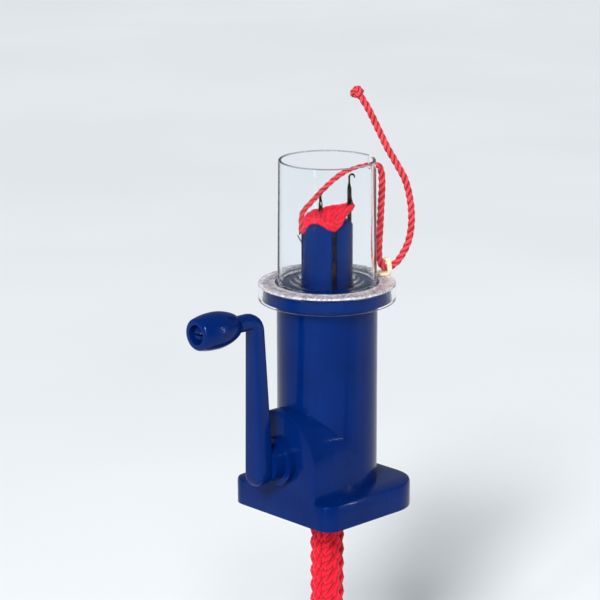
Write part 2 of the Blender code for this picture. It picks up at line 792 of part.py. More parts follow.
def needles():
    half = NEEDLE_THICKNESS / 2
    slot_half = LATCH_THICKNESS / 2 + GAP
    for number, angle in enumerate(NEEDLE_ANGLES, 1):
        foot = BUTT_LOW_Z + lift_at(angle)
        matrix = upright(angle)
        needle = prism(f"needle_{number}", needle_outline(foot), -half, half, steel(), matrix)
        pivot_z = foot + NEEDLE_LENGTH - LATCH_DROP
        low = (stem_back() - 1, pivot_z - 5.5, -slot_half)
        high = (stem_back() + STEM_DEPTH + 1, pivot_z + 2.4, slot_half)
        cut(needle, box("latch_slot", low, high, steel(), matrix))
        spot = matrix @ Matrix.Translation(Vector((pivot_r(), pivot_z, 0)) * MM)
        hole_r = LATCH_PIN_R + GAP
        hole = ((hole_r, -half - 1), (hole_r, half + 1))
        cut(needle, turned("pin_hole", hole, 10, steel(), spot, closed=False))
        pin = ((LATCH_PIN_R, -half), (LATCH_PIN_R, half))
        turned(f"latch_pin_{number}", pin, 10, steel(), spot, closed=False)


def latch_outline():
    """A latch pointing along +X from its pivot: an eye and a blade."""
    half = LATCH_DEPTH / 2
    start = math.degrees(math.asin(half / LATCH_EYE_R))
    blade = [(LATCH_LENGTH - 0.3, -half), (LATCH_LENGTH, 0), (LATCH_LENGTH - 0.3, half)]
    return blade + arc((0, 0), LATCH_EYE_R, start, 360 - start, 14)


def latches():
    half = LATCH_THICKNESS / 2
    for number, angle in enumerate(NEEDLE_ANGLES, 1):
        pivot_z = BUTT_LOW_Z + lift_at(angle) + NEEDLE_LENGTH - LATCH_DROP
        place_pivot = Matrix.Translation(Vector((pivot_r(), pivot_z, 0)) * MM)
        turn = Matrix.Rotation(math.radians(90.0 - LATCH_REST_DEG[number - 1]), 4, "Z")
        matrix = upright(angle) @ place_pivot @ turn
        latch = prism(f"latch_{number}", latch_outline(), -half, half, steel(), matrix)
        hole = ((LATCH_PIN_R + GAP, -half - 1), (LATCH_PIN_R + GAP, half + 1))
        cut(latch, turned("eye", hole, 10, steel(), matrix, closed=False))


def guard_radius(z):
    """The guard wall's outer radius at a height, with its draft."""
    share = (z - FLANGE_TOP) / (GUARD_RIM_Z - FLANGE_TOP)
    return GUARD_FOOT_R + (GUARD_TOP_R - GUARD_FOOT_R) * share


def clear_guard():
    """The clear cover: a tube on a wide flange whose skirt wraps the head."""
    skirt_r = HEAD_R + GAP
    skirt_z = FLANGE_TOP - SKIRT_DROP
    under = HEAD_TOP + GAP
    neck = CYLINDER_R + 0.9
    profile = (
        (neck, under),
        (skirt_r, under),
        (skirt_r, skirt_z),
        (FLANGE_R, skirt_z),
        (FLANGE_R, FLANGE_TOP - 0.7),
        (FLANGE_R - 0.7, FLANGE_TOP),
        (guard_radius(FLANGE_TOP) + 0.8, FLANGE_TOP + 0.01),
        (guard_radius(FLANGE_TOP), FLANGE_TOP + 0.9),
        (GUARD_TOP_R, GUARD_RIM_Z),
        (GUARD_TOP_R - GUARD_WALL, GUARD_RIM_Z),
        (GUARD_FOOT_R - GUARD_WALL, FLANGE_TOP + 0.01),
        (neck + 4.2, FLANGE_TOP),
        (neck + 4.0, FLANGE_TOP + 0.9),
        (neck + 2.0, FLANGE_TOP + 0.95),
        (neck + 1.8, FLANGE_TOP + 1.9),
        (neck, FLANGE_TOP + 1.9),
    )
    guard = turned("clear_guard", profile, 64, clear())
    low = (GUARD_TOP_R - 5, -NOTCH_WIDTH / 2, GUARD_RIM_Z - NOTCH_DEPTH)
    high = (GUARD_FOOT_R + 3, NOTCH_WIDTH / 2, GUARD_RIM_Z + 2)
    cut(guard, box("notch", low, high, clear(), facing(NOTCH_DEG)))
    spot = facing(GUIDE_DEG) @ Matrix.Translation(Vector((guide_peg_r(), 0, 0)) * MM)
    hole = ((1.2 + GAP, under - 0.5), (1.2 + GAP, FLANGE_TOP + 0.5))
    cut(guard, turned("peg_hole", hole, 12, clear(), spot, closed=False))


def guide_peg_r():
    return min(GUIDE_R, HEAD_R - 1.6)


def yarn_guide():
    """An eyelet on a foot, pegged into the flange, with its hole along the radius."""
    foot_z = FLANGE_TOP + GAP
    outer = GUIDE_HOLE_R + GUIDE_RIM
    matrix = facing(GUIDE_DEG)
    foot_low = (guide_peg_r() - 2.0, -3.0, foot_z)
    foot_high = (GUIDE_R + GUIDE_THICKNESS / 2, 3.0, foot_z + 1.2)
    guide = box("yarn_guide", foot_low, foot_high, clear(), matrix)
    spot = matrix @ Matrix.Translation(Vector((GUIDE_R - GUIDE_THICKNESS / 2, 0, GUIDE_Z)) * MM)
    lie = spot @ Matrix.Rotation(math.pi / 2, 4, "Y")
    ring = ((outer, 0), (outer, GUIDE_THICKNESS))
    eyelet = turned("eyelet", ring, 20, clear(), lie, closed=False)
    below = box("below", (-20, -20, -20), (60, 20, foot_z + 0.4), clear(), matrix)
    cut(eyelet, below)
    join(guide, eyelet)
    hole = ((GUIDE_HOLE_R, -6), (GUIDE_HOLE_R, GUIDE_THICKNESS + 6))
    cut(guide, turned("hole", hole, 20, clear(), lie, closed=False))
    peg_spot = matrix @ Matrix.Translation(Vector((guide_peg_r(), 0, 0)) * MM)
    peg = ((1.2, HEAD_TOP + 2 * GAP), (1.2, foot_z + 0.4))
    join(guide, turned("peg", peg, 12, clear(), peg_spot, closed=False))


def smooth_route(points, spacing):
    """Points about spacing apart on a smooth curve through the route's points."""
    ends = [2 * Vector(points[0]) - Vector(points[1]), 2 * Vector(points[-1]) - Vector(points[-2])]
    route = [ends[0], *[Vector(p) for p in points], ends[1]]
    fine = []
    for a, b, c, d in zip(route, route[1:], route[2:], route[3:]):
        steps = max(1, round((c - b).length / spacing))
        for i in range(steps):
            t = i / steps
            fine.append(0.5 * (2 * b + (c - a) * t + (2 * a - 5 * b + 4 * c - d) * t**2
                               + (3 * b - 3 * c + d - a) * t**3))
    fine.append(Vector(points[-1]))
    return fine


def tube(name, points, radius, look, sides=2):
    """A cord's solid: a curve with a round bevel and filled caps."""
    data = bpy.data.curves.new(name, "CURVE")
    data.dimensions = "3D"
    spline = data.splines.new("POLY")
    spline.points.add(len(points) - 1)
    for place_in, point in zip(spline.points, points):
        place_in.co = (*(point * MM), 1.0)
    data.bevel_depth = radius * MM
    data.bevel_resolution = sides
    data.use_fill_caps = True
    data.materials.append(look)
    made = bpy.data.objects.new(name, data)
    bpy.context.scene.collection.objects.link(made)
    return made


def yarn():
    tube("yarn", smooth_route(YARN_ROUTE, 8.0), YARN_R, red_yarn())
    tube("yarn_strand", smooth_route(STRAND_ROUTE, 8.0), STRAND_R, red_yarn())


def knit_top():
    """The newest rows of knitting, as a plain plug in and above the cylinder's bore."""
    inside = CYLINDER_BORE_R - 0.5
    above = stem_back() - 0.5
    rim = CYLINDER_EDGE_Z + DOME_RISE + GAP
    foot = KNIT_TOP_FOOT_Z
    profile = ((inside - 0.6, foot), (inside, foot + 1.5), (inside, rim), (above, rim + 0.2),
               (above, rim + 1.6), (5.0, rim + 3.6))
    turned("knit_top", profile, 24, red_yarn(), closed=False)


def cord_line(high, low, count):
    return [Vector((0, 0, high + (low - high) * i / (count - 1))) for i in range(count)]


def knitted_cord():
    tube("inner_cord", cord_line(KNIT_TOP_FOOT_Z - GAP, GAP, 4), CORD_R, red_yarn(), sides=4)
    tube("knitted_cord", cord_line(0.0, -CORD_HANGS, 6), CORD_R, red_yarn(), sides=4)


def main():
    for old in list(bpy.data.objects):
        bpy.data.objects.remove(old)
    main_housing()
    bottom_cover()
    cover_screws()
    cord_tube()
    lower_cam()
    upper_cam()
    gears()
    crank_shaft()
    gear_fastening()
    shaft_bush()
    crank_arm()
    grip()
    needle_cylinder()
    needles()
    latches()
    clear_guard()
    yarn_guide()
    yarn()
    knit_top()
    knitted_cord()


main()
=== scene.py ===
"""Looks for a hand-cranked four-needle cord knitting mill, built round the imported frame.

Metres, +Z up, in the frame's own coordinates. The knitted cord and the yarn are real strands
of plied yarn, the guard is a clear shell, and the moulded parts keep their CAD shapes.
"""

import math

import bmesh
import bpy
from mathutils import Matrix, Vector


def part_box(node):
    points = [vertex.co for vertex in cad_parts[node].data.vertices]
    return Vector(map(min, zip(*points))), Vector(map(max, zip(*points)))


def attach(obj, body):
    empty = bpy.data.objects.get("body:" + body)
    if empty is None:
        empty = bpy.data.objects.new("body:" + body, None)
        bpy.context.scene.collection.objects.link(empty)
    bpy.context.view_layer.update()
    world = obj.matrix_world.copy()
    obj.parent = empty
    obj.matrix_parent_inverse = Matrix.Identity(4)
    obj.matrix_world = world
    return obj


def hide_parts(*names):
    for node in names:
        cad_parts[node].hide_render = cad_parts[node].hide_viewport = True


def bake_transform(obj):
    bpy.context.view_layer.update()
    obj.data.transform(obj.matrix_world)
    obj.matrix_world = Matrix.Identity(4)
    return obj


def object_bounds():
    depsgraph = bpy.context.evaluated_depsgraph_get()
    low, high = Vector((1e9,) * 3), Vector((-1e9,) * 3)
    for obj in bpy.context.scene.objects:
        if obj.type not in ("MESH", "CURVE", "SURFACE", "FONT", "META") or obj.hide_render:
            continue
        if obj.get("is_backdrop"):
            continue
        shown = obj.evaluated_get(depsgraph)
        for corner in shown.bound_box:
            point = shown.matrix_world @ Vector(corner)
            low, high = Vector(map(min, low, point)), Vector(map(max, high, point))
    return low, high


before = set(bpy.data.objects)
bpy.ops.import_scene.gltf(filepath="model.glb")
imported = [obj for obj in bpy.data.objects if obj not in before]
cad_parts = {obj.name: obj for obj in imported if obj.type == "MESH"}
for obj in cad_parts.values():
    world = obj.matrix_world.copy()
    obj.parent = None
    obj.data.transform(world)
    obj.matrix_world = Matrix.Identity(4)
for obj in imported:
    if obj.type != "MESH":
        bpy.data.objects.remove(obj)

CAD_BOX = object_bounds()
MM = 0.001

# Camera and stage
CAMERA_TARGET = Vector((0.0, 0.0, 0.075))
CAMERA_DISTANCE = 1.10968
CAMERA_AZIMUTH = math.radians(-44.30)
CAMERA_ELEVATION = math.radians(15.92)
CAMERA_LENS = 148.70
CAMERA_SHIFT = (-0.0451, 0.0727)
FLOOR_Z = -0.135
SUN_STRENGTH = 3.9
SUN_ANGLE = math.radians(14.0)
SUN_DIRECTION = Vector((0.70, 0.45, -0.55))
SKY_COLOR = (0.82, 0.88, 0.95, 1.0)
SKY_STRENGTH = 0.30
LIGHTS_AIM = Vector((0, 0, 0.07))
AREA_LIGHTS = (  # name, place, size and power
    ("key", (-0.95, -0.30, 0.30), (0.05, 0.5), 3.0),
    ("rim", (0.55, -0.80, 0.25), (0.03, 0.5), 1.6),
    ("top", (-0.45, -0.60, 0.90), (0.14, 0.14), 3.0),
)

# Yarn
YARN_R = 1.65 * MM
YARN_PLIES = 3
YARN_TWIST = 10.0 * MM  # length of one full turn of the plies

# Knitted cord
CORD_R = 7.9 * MM
CORD_HANGS = 110.0 * MM
STITCHES_ROUND = 4
KNIT_YARN_R = 1.8 * MM  # the yarn relaxes and swells once it is knitted
COURSE = 6.9 * MM  # height of one row of stitches
STITCH_TALL = 12.4 * MM  # from a stitch's foot to its head, which hooks the next row
STITCH_DEPTH = 1.25 * MM  # how far the legs stand out from the heads and feet
STITCH_LEAN = 0.26  # sideways sway of the legs, as a share of a stitch's width
WALE_EDGE = math.radians(70.7)  # where one column of stitches meets the next
CORD_END = 12.0 * MM  # the stretch at the bottom that its end knot takes up
GATHER_START = 11.0 * MM  # how far above the cord's end the knitting starts to widen
GATHER_LENGTH = 12.0 * MM
CORD_KNOT_UP = 4.5 * MM  # the end knot's middle, above the cord's end
CORD_KNOT = 3.4 * MM
YARN_KNOT = 2.3 * MM

# Needle cylinder, needles and the newest stitches, in millimetres
CYLINDER_R = 11.5
BORE_R = 8.3
CYLINDER_EDGE_Z = 129.4
DOME_RISE = 2.5
NEEDLE_ANGLES = (152.0, 242.0, 332.0, 62.0)
STEM_BACK_R = 9.5
STEM_FRONT_R = 11.2
NEEDLE_HALF_WIDTH = 0.9
BUTT_TIP_R = 14.6
BUTT_HEIGHT = 3.0
HOOK_R = 1.2
HOOK_WIRE_R = 0.45
LATCH_DROP = 8.0
LATCH_LENGTH = 6.7
LATCH_REST_DEG = (29.5, 29.5, 165.0, 29.5)
LATCH_SLOT = 1.1
SLOT_BELOW = 5.5  # how far the slot runs below the latch's pivot
SLOT_ABOVE = 2.4
LATCH_EYE_R = 1.0
LOOP_DROP = (0.8, -1.5, 13.9, 9.6)  # each stitch below its hook's top; less than 0 is above it
LOOP_R = (11.9, 11.5, 11.8, 12.0)  # how far out each stitch passes its needle
BETWEEN_Z = (133.3, 135.6, 135.6, 132.6)  # the knitting's edge after each needle, going round
BETWEEN_R = (10.0, 9.3, 9.0, 9.4)
FUNNEL_R = 2.0
FUNNEL_Z = 120.5
WEB_THICKNESS = 1.5
FOLD_HEIGHT = 0.30
RIM_YARN_R = 1.2  # of the yarn in the newest stitches
LEG_ANGLES = (-33, -13, 13, 33)
LEG_CLOSING = 0.35  # how far the legs draw together, as a share of their angle
LEG_START = 0.04  # the legs run from here, as a share of the way in to the middle
LEG_REACH = 0.86
LEG_LIFT = 0.35

# Clear guard and yarn guide, in millimetres
GUARD_FOOT_R = 22.1
GUARD_TOP_R = 21.5
GUARD_WALL = 1.4
FLANGE_R = 30.7
FLANGE_TOP = 103.8
FLANGE_UNDER = 102.0
SKIRT_INNER_R = 28.9
SKIRT_Z = 95.9
GUARD_NECK_R = 12.4
GROOVE_R = (25.4, 25.2, 24.9)  # a fine groove round the flange: its outer edge, foot and inner edge
CLOUDY_ABOVE = 0.6  # the flange is cloudy from this far above its underside
CLOUDY_OUTSIDE = 0.9  # and from this far outside the tube's foot
PAINTED_DARK_RIM_BAND = 0.42  # height of the band at the rim that is tinted dark, a painted dark edge line
NOTCH_DEG = -22.0
NOTCH_WIDTH = 5.6
NOTCH_DEPTH = 6.2
GUIDE_DEG = -19.4
GUIDE_R = 29.3
GUIDE_Z = 107.4
GUIDE_HOLE_R = 2.8
GUIDE_RIM = 1.5
GUIDE_THICKNESS = 2.2
GUIDE_PEG_R = 27.0
GUIDE_FOOT_HALF = 3.0
HORN_R = 0.62
HORN_RISE = 2.3
STRAND_R = 1.25 * MM
STRAND_SPLIT = 0.70  # where the strand's two pieces meet

# The yarn's route, from inside the rim notch, down to the guide and up to its end knot
YARN_ROUTE = (
    (19.2, -7.5, 154.9),
    (21.2, -8.4, 154.8),
    (23.2, -9.3, 153.9),
    (24.2, -9.7, 151.0),
    (24.4, -9.9, 145.0),
    (24.2, -9.6, 136.0),
    (24.3, -8.9, 126.0),
    (24.2, -8.4, 117.6),
    (24.4, -8.4, 112.0),
    (25.7, -9.0, 108.2),
    (27.8, -9.8, 107.2),
    (29.9, -10.7, 107.5),
    (32.4, -13.0, 110.6),
    (34.9, -15.9, 118.0),
    (36.0, -17.0, 126.5),
    (35.8, -16.7, 136.0),
    (34.4, -15.0, 146.0),
    (31.8, -12.2, 153.6),
    (28.6, -9.0, 161.4),
    (25.3, -6.1, 170.5),
    (21.8, -2.8, 180.2),
    (18.4, 0.6, 187.5),
)
# The strand's route inside the guard, whose last point gives way to needle 1's stitch
STRAND_ROUTE = (
    (18.6, -7.2, 154.9),
    (14.6, -3.6, 153.6),
    (10.6, -0.6, 151.6),
    (6.4, 2.2, 148.3),
    (1.6, 4.6, 143.8),
    (-3.4, 6.6, 138.8),
    (-8.0, 7.5, 134.3),
    (-12.0, 8.0, 129.9),
)


# Materials


class Look:
    """A node material being built round one Principled shader."""

    def __init__(self, name, color, roughness, metallic=0.0, **settings):
        self.material = bpy.data.materials.new(name)
        self.material.use_nodes = True
        self.nodes = self.material.node_tree.nodes
        self.links = self.material.node_tree.links
        self.shader = self.nodes["Principled BSDF"]
        self.set("Base Color", (*color, 1.0))
        self.set("Roughness", roughness)
        self.set("Metallic", metallic)
        for key, value in settings.items():
            self.set(key.replace("_", " "), value)
        self.bumps = None

    def set(self, socket, value):
        self.shader.inputs[socket].default_value = value

    def add(self, kind, **inputs):
        node = self.nodes.new(kind)
        for key, value in inputs.items():
            node.inputs[key.replace("_", " ")].default_value = value
        return node

    def place(self, scale=(1, 1, 1), uv=None):
        """Object coordinates, or a named UV map's, scaled."""
        if uv:
            source = self.nodes.new("ShaderNodeUVMap")
            source.uv_map = uv
            out = source.outputs["UV"]
        else:
            out = self.nodes.new("ShaderNodeTexCoord").outputs["Object"]
        mapping = self.add("ShaderNodeMapping", Scale=scale)
        self.links.new(out, mapping.inputs["Vector"])
        return mapping.outputs["Vector"]

    def noise(self, vector, scale, detail=3.0, roughness=0.55):
        node = self.add("ShaderNodeTexNoise", Scale=scale, Detail=detail, Roughness=roughness)
        self.links.new(vector, node.inputs["Vector"])
        return node.outputs["Fac"]

    def spread(self, value, low, high, to_low, to_high):
        node = self.nodes.new("ShaderNodeMapRange")
        for key, number in (("From Min", low), ("From Max", high), ("To Min", to_low), ("To Max", to_high)):
            node.inputs[key].default_value = number
        self.links.new(value, node.inputs["Value"])
        return node.outputs["Result"]

    def colors(self, value, *stops):
        """A colour ramp over value: stops are (place, colour)."""
        node = self.nodes.new("ShaderNodeValToRGB")
        ramp = node.color_ramp
        while len(ramp.elements) < len(stops):
            ramp.elements.new(0.5)
        for element, (spot, color) in zip(ramp.elements, stops):
            element.position = spot
            element.color = (*color, 1.0)
        self.links.new(value, node.inputs["Fac"])
        return node.outputs["Color"]

    def join(self, out, socket):
        self.links.new(out, self.shader.inputs[socket])

    def bump(self, height, distance, strength):
        """Adds a bump layer on top of those already there."""
        node = self.add("ShaderNodeBump", Strength=strength, Distance=distance)
        self.links.new(height, node.inputs["Height"])
        if self.bumps:
            self.links.new(self.bumps, node.inputs["Normal"])
        self.bumps = node.outputs["Normal"]
        self.join(self.bumps, "Normal")


def moulded_plastic(name, dark, light, roughness, shine):
    """Glossy injection-moulded plastic: faint colour drift, a fine orange peel and handling marks."""
    look = Look(name, light, roughness, Specular_IOR_Level=shine)
    look.set("Specular Tint", (0.20, 0.45, 1.0, 1.0))
    look.set("Coat Weight", 0.09)
    look.set("Coat Roughness", 0.06)
    spot = look.place()
    drift = look.noise(spot, 38.0, 3.0)
    look.join(look.colors(drift, (0.32, dark), (0.68, light)), "Base Color")
    marks = look.noise(look.place((1.0, 1.0, 0.35)), 420.0, 5.0, 0.7)
    look.join(look.spread(marks, 0.3, 0.75, roughness - 0.05, roughness + 0.12), "Roughness")
    look.bump(look.noise(spot, 900.0, 2.0), 0.00003, 0.4)
    look.bump(look.noise(spot, 70.0, 1.5), 0.00012, 0.3)
    return look.material


def brushed_metal(name, dark, light, roughness):
    """Drawn or turned metal with fine upright lines and some dull patches."""
    look = Look(name, light, roughness, 1.0)
    lines = look.noise(look.place((1.0, 1.0, 0.06)), 4200.0, 4.0, 0.6)
    patches = look.noise(look.place(), 160.0, 3.0)
    look.join(look.colors(patches, (0.35, dark), (0.65, light)), "Base Color")
    look.join(look.spread(lines, 0.3, 0.7, roughness - 0.07, roughness + 0.12), "Roughness")
    look.bump(lines, 0.00002, 0.4)
    return look.material


def yarn_look(name, dark, light):
    """Twisted acrylic yarn: fine fibres along the plies, painted shade in the grooves between the plies, and
    a soft sheen.
    """
    look = Look(name, light, 0.82, Specular_IOR_Level=0.25)
    look.set("Sheen Weight", 0.3)
    look.set("Sheen Roughness", 0.45)
    look.set("Sheen Tint", (1.0, 0.42, 0.46, 1.0))
    look.set("Subsurface Weight", 0.12)
    look.set("Subsurface Radius", (0.0012, 0.0004, 0.0004))
    look.set("Subsurface Scale", 1.0)
    fibres = look.noise(look.place((9.0, 260.0, 1.0), "strand"), 3.0, 4.0, 0.65)
    clumps = look.noise(look.place(), 260.0, 3.0)
    mixed = look.add("ShaderNodeMath")
    mixed.operation = "MULTIPLY_ADD"
    mixed.inputs[1].default_value = 0.55
    look.links.new(fibres, mixed.inputs[0])
    half = look.spread(clumps, 0.0, 1.0, 0.0, 0.45)
    look.links.new(half, mixed.inputs[2])
    # Painted shade: the colour is darkened in the grooves where the plies meet, following the cosine round
    # the strand.
    turns = look.add("ShaderNodeSeparateXYZ")
    look.links.new(look.place((2 * math.pi * YARN_PLIES, 1.0, 1.0), "strand"), turns.inputs[0])
    ply = look.add("ShaderNodeMath")
    ply.operation = "COSINE"
    look.links.new(turns.outputs["X"], ply.inputs[0])
    fibres_and_painted_groove_shade = look.add("ShaderNodeMath")
    look.links.new(mixed.outputs[0], fibres_and_painted_groove_shade.inputs[0])
    look.links.new(look.spread(ply.outputs[0], -1.0, 0.2, -0.24, 0.06), fibres_and_painted_groove_shade.inputs[1])
    look.join(look.colors(fibres_and_painted_groove_shade.outputs[0], (0.30, dark), (0.58, light)), "Base Color")
    look.bump(fibres, 0.00022, 0.8)
    return look.material


def clear_plastic(name, tint, roughness, transmission, ior, grain):
    """Clear moulded plastic with faint flow marks. grain is (scale, height) of its surface."""
    look = Look(name, tint, roughness, IOR=ior)
    look.set("Transmission Weight", transmission)
    scale, height = grain
    flow = look.noise(look.place((1.0, 1.0, 0.5)), scale, 3.0)
    look.join(look.spread(flow, 0.3, 0.7, roughness, roughness + 0.06), "Roughness")
    look.bump(flow, height, 0.6)
    return look


def milky(look, dark, light, scale):
    """Speckled cloudiness, as in a thick moulding."""
    cloud = look.noise(look.place(), scale, 4.0, 0.65)
    look.join(look.colors(cloud, (0.38, dark), (0.60, light)), "Base Color")


def let_light_through(look, tint):
    """Shadow rays pass the surface with only a light tint."""
    path = look.nodes.new("ShaderNodeLightPath")
    passing = look.add("ShaderNodeBsdfTransparent", Color=(*tint, 1.0))
    mix = look.nodes.new("ShaderNodeMixShader")
    look.links.new(path.outputs["Is Shadow Ray"], mix.inputs["Fac"])
    look.links.new(look.shader.outputs["BSDF"], mix.inputs[1])
    look.links.new(passing.outputs["BSDF"], mix.inputs[2])
    look.links.new(mix.outputs["Shader"], look.nodes["Material Output"].inputs["Surface"])
    return look.material


def make_materials():
    guard = clear_plastic("guard_clear", (0.97, 0.985, 1.0), 0.012, 1.0, 1.11, (60.0, 0.00002))
    # The rim material's dark grey tint is a painted dark edge line along the top of the clear plastic.
    rim = clear_plastic("guard_rim_painted_dark", (0.30, 0.30, 0.38), 0.05, 0.9, 1.30, (90.0, 0.00004))
    flange = clear_plastic("guard_flange", (0.80, 0.74, 0.78), 0.24, 0.45, 1.35, (700.0, 0.00016))
    milky(flange, (0.42, 0.38, 0.42), (0.86, 0.80, 0.83), 260.0)
    guide = clear_plastic("guide_plastic", (0.90, 0.83, 0.72), 0.22, 0.25, 1.45, (500.0, 0.0001))
    milky(guide, (0.70, 0.52, 0.32), (0.85, 0.76, 0.62), 260.0)
    navy_dark, navy_light = (0.0002, 0.0080, 0.0700), (0.0003, 0.0125, 0.0980)
    return {
        "navy": moulded_plastic("navy_plastic", navy_dark, navy_light, 0.2, 0.11),
        "inner": moulded_plastic("inner_plastic", (0.56, 0.57, 0.57), (0.70, 0.71, 0.71), 0.38, 0.4),
        "steel": brushed_metal("steel", (0.52, 0.53, 0.55), (0.68, 0.69, 0.71), 0.28),
        # Painted reflection: the needle steel is coloured near black with a brownish-gold tint, standing for
        # the dark surroundings and gold glints it shows, not for bright steel.
        "needle": brushed_metal("needle_steel", (0.010, 0.008, 0.006), (0.060, 0.043, 0.020), 0.24),
        # The dark colours give the fibre and clump tone and also the painted shade in the grooves between
        # the plies.
        "yarn": yarn_look("red_yarn", (0.20, 0.006, 0.012), (0.62, 0.048, 0.062)),
        "knit": yarn_look("red_knit", (0.36, 0.0008, 0.009), (0.74, 0.0030, 0.026)),
        "guard": let_light_through(guard, (0.42, 0.43, 0.44)),
        "rim": let_light_through(rim, (0.6, 0.6, 0.65)),
        "flange": let_light_through(flange, (0.40, 0.37, 0.39)),
        "guide": let_light_through(guide, (0.75, 0.70, 0.62)),
    }


# Mesh helpers


def new_object(name, mesh, *materials):
    made = bpy.data.objects.new(name, mesh)
    bpy.context.scene.collection.objects.link(made)
    for material in materials:
        mesh.materials.append(material)
    return made


def smooth_route(points, spacing):
    """Points about spacing apart on a smooth curve through the route's points."""
    ends = [2 * Vector(points[0]) - Vector(points[1]), 2 * Vector(points[-1]) - Vector(points[-2])]
    route = [ends[0], *[Vector(p) for p in points], ends[1]]
    fine = []
    for a, b, c, d in zip(route, route[1:], route[2:], route[3:]):
        steps = max(1, round((c - b).length / spacing))
        for i in range(steps):
            t = i / steps
            fine.append(0.5 * (2 * b + (c - a) * t + (2 * a - 5 * b + 4 * c - d) * t**2
                               + (3 * b - 3 * c + d - a) * t**3))
    fine.append(Vector(points[-1]))
    return fine


def in_metres(points):
    return [Vector(p) * MM for p in points]


def frames_along(points):
    """(point, normal, binormal, distance) along a line, turning as little as it can."""
    tangents = []
    for i in range(len(points)):
        before = points[max(i - 1, 0)]
        after = points[min(i + 1, len(points) - 1)]
        tangents.append((after - before).normalized())
    normal = tangents[0].orthogonal().normalized()
    found = []
    distance = 0.0
    for i, (point, tangent) in enumerate(zip(points, tangents)):
        if i:
            distance += (point - points[i - 1]).length
            normal = (normal - tangent * normal.dot(tangent)).normalized()
        found.append((point, normal, tangent.cross(normal), distance))
    return found


def ply_radius(angle):
    """The outline of three plies pressed together, as a share of the yarn's radius."""
    sector = 2 * math.pi / YARN_PLIES
    off = (angle + sector / 2) % sector - sector / 2
    ply = 0.585
    offset = 1.0 - ply
    return offset * math.cos(off) + math.sqrt(ply**2 - (offset * math.sin(off)) ** 2)


def strand_layer(bm):
    """The UV map that yarn_look reads: turns round the strand, and metres along it."""
    return bm.loops.layers.uv.get("strand") or bm.loops.layers.uv.new("strand")


def strand(bm, points, radius, sides=18, taper=None, span=(0.0, 1.0)):
    """Adds a closed tube of plied yarn along points. taper gives the radius's share at each place
    from 0 to 1, and span is the stretch of the line that is made."""
    layer = strand_layer(bm)
    rings = []
    rows = frames_along(points)
    last = len(rows) - 1
    kept = range(round(span[0] * last), round(span[1] * last) + 1)
    shares = [taper(i / last) if taper else 1.0 for i in kept]
    rows = [rows[i] for i in kept]
    for share, (point, normal, binormal, distance) in zip(shares, rows):
        twist = 2 * math.pi * distance / YARN_TWIST
        ring = []
        for side in range(sides):
            angle = 2 * math.pi * side / sides
            reach = radius * share * ply_radius(angle - twist)
            out = normal * math.cos(angle) + binormal * math.sin(angle)
            ring.append(bm.verts.new(point + out * reach))
        rings.append((ring, distance, twist / (2 * math.pi)))
    for (low, low_s, low_turns), (high, high_s, high_turns) in zip(rings, rings[1:]):
        for side in range(sides):
            after = (side + 1) % sides
            face = bm.faces.new((low[side], low[after], high[after], high[side]))
            face.smooth = True
            left, right = side / sides, (side + 1) / sides
            places = ((left - low_turns, low_s), (right - low_turns, low_s),
                      (right - high_turns, high_s), (left - high_turns, high_s))
            for loop, place in zip(face.loops, places):
                loop[layer].uv = place
    for ring, center, flip in ((rings[0][0], rows[0][0], True), (rings[-1][0], rows[-1][0], False)):
        middle = bm.verts.new(center)
        for side in range(sides):
            pair = (ring[side], ring[(side + 1) % sides])
            face = bm.faces.new((middle, *(reversed(pair) if flip else pair)))
            face.smooth = True


def strands_object(name, material, *lines, radius=YARN_R, sides=18, taper=None, span=(0.0, 1.0)):
    bm = bmesh.new()
    for points in lines:
        strand(bm, points, radius, sides, taper, span)
    mesh = bpy.data.meshes.new(name)
    bm.to_mesh(mesh)
    bm.free()
    return new_object(name, mesh, material)


def at_angle(angle_deg, radius, z):
    """A point by its angle about the axis, radius and height, the last two in millimetres."""
    turn = math.radians(angle_deg)
    return Vector((radius * math.cos(turn), radius * math.sin(turn), z)) * MM


# Yarn and knitted cord


def knot_line(center, size, axis=Vector((0, 0, 1))):
    """A closed trefoil about center, as for an overhand knot pulled tight."""
    turn = axis.normalized().to_track_quat("Z", "Y")
    points = []
    for i in range(61):
        t = 2 * math.pi * i / 60
        local = Vector((math.sin(t) + 2 * math.sin(2 * t),
                        math.cos(t) - 2 * math.cos(2 * t),
                        -1.6 * math.sin(3 * t)))
        points.append(center + turn @ (local * size / 3))
    return points


def knit_stitches(first, count, z_low, shape=None):
    """The centre line of count stitches round a cord, from stitch number first, upward.
    shape(z) is the share of the full radius at a height."""
    per_stitch = 20
    legs_r = CORD_R - KNIT_YARN_R
    middle_r = legs_r - STITCH_DEPTH
    points = []
    for step in range(count * per_stitch + 1):
        stitch = first + step / per_stitch
        t = stitch % 1.0
        sway = STITCH_LEAN * math.sin(4 * math.pi * t)
        angle = WALE_EDGE + 2 * math.pi * (stitch + sway) / STITCHES_ROUND
        z = z_low + COURSE * (stitch - first) / STITCHES_ROUND
        z -= 0.5 * STITCH_TALL * math.cos(2 * math.pi * t)
        radius = middle_r - STITCH_DEPTH * math.cos(4 * math.pi * t)
        if shape:
            radius *= shape(z)
        points.append(Vector((radius * math.cos(angle), radius * math.sin(angle), z)))
    return points


def cord_taper(z):
    """The knitting is drawn together above its end knot."""
    share = (z + CORD_HANGS - GATHER_START) / GATHER_LENGTH
    return 0.25 + 0.75 * min(max(share, 0.0), 1.0) ** 0.7


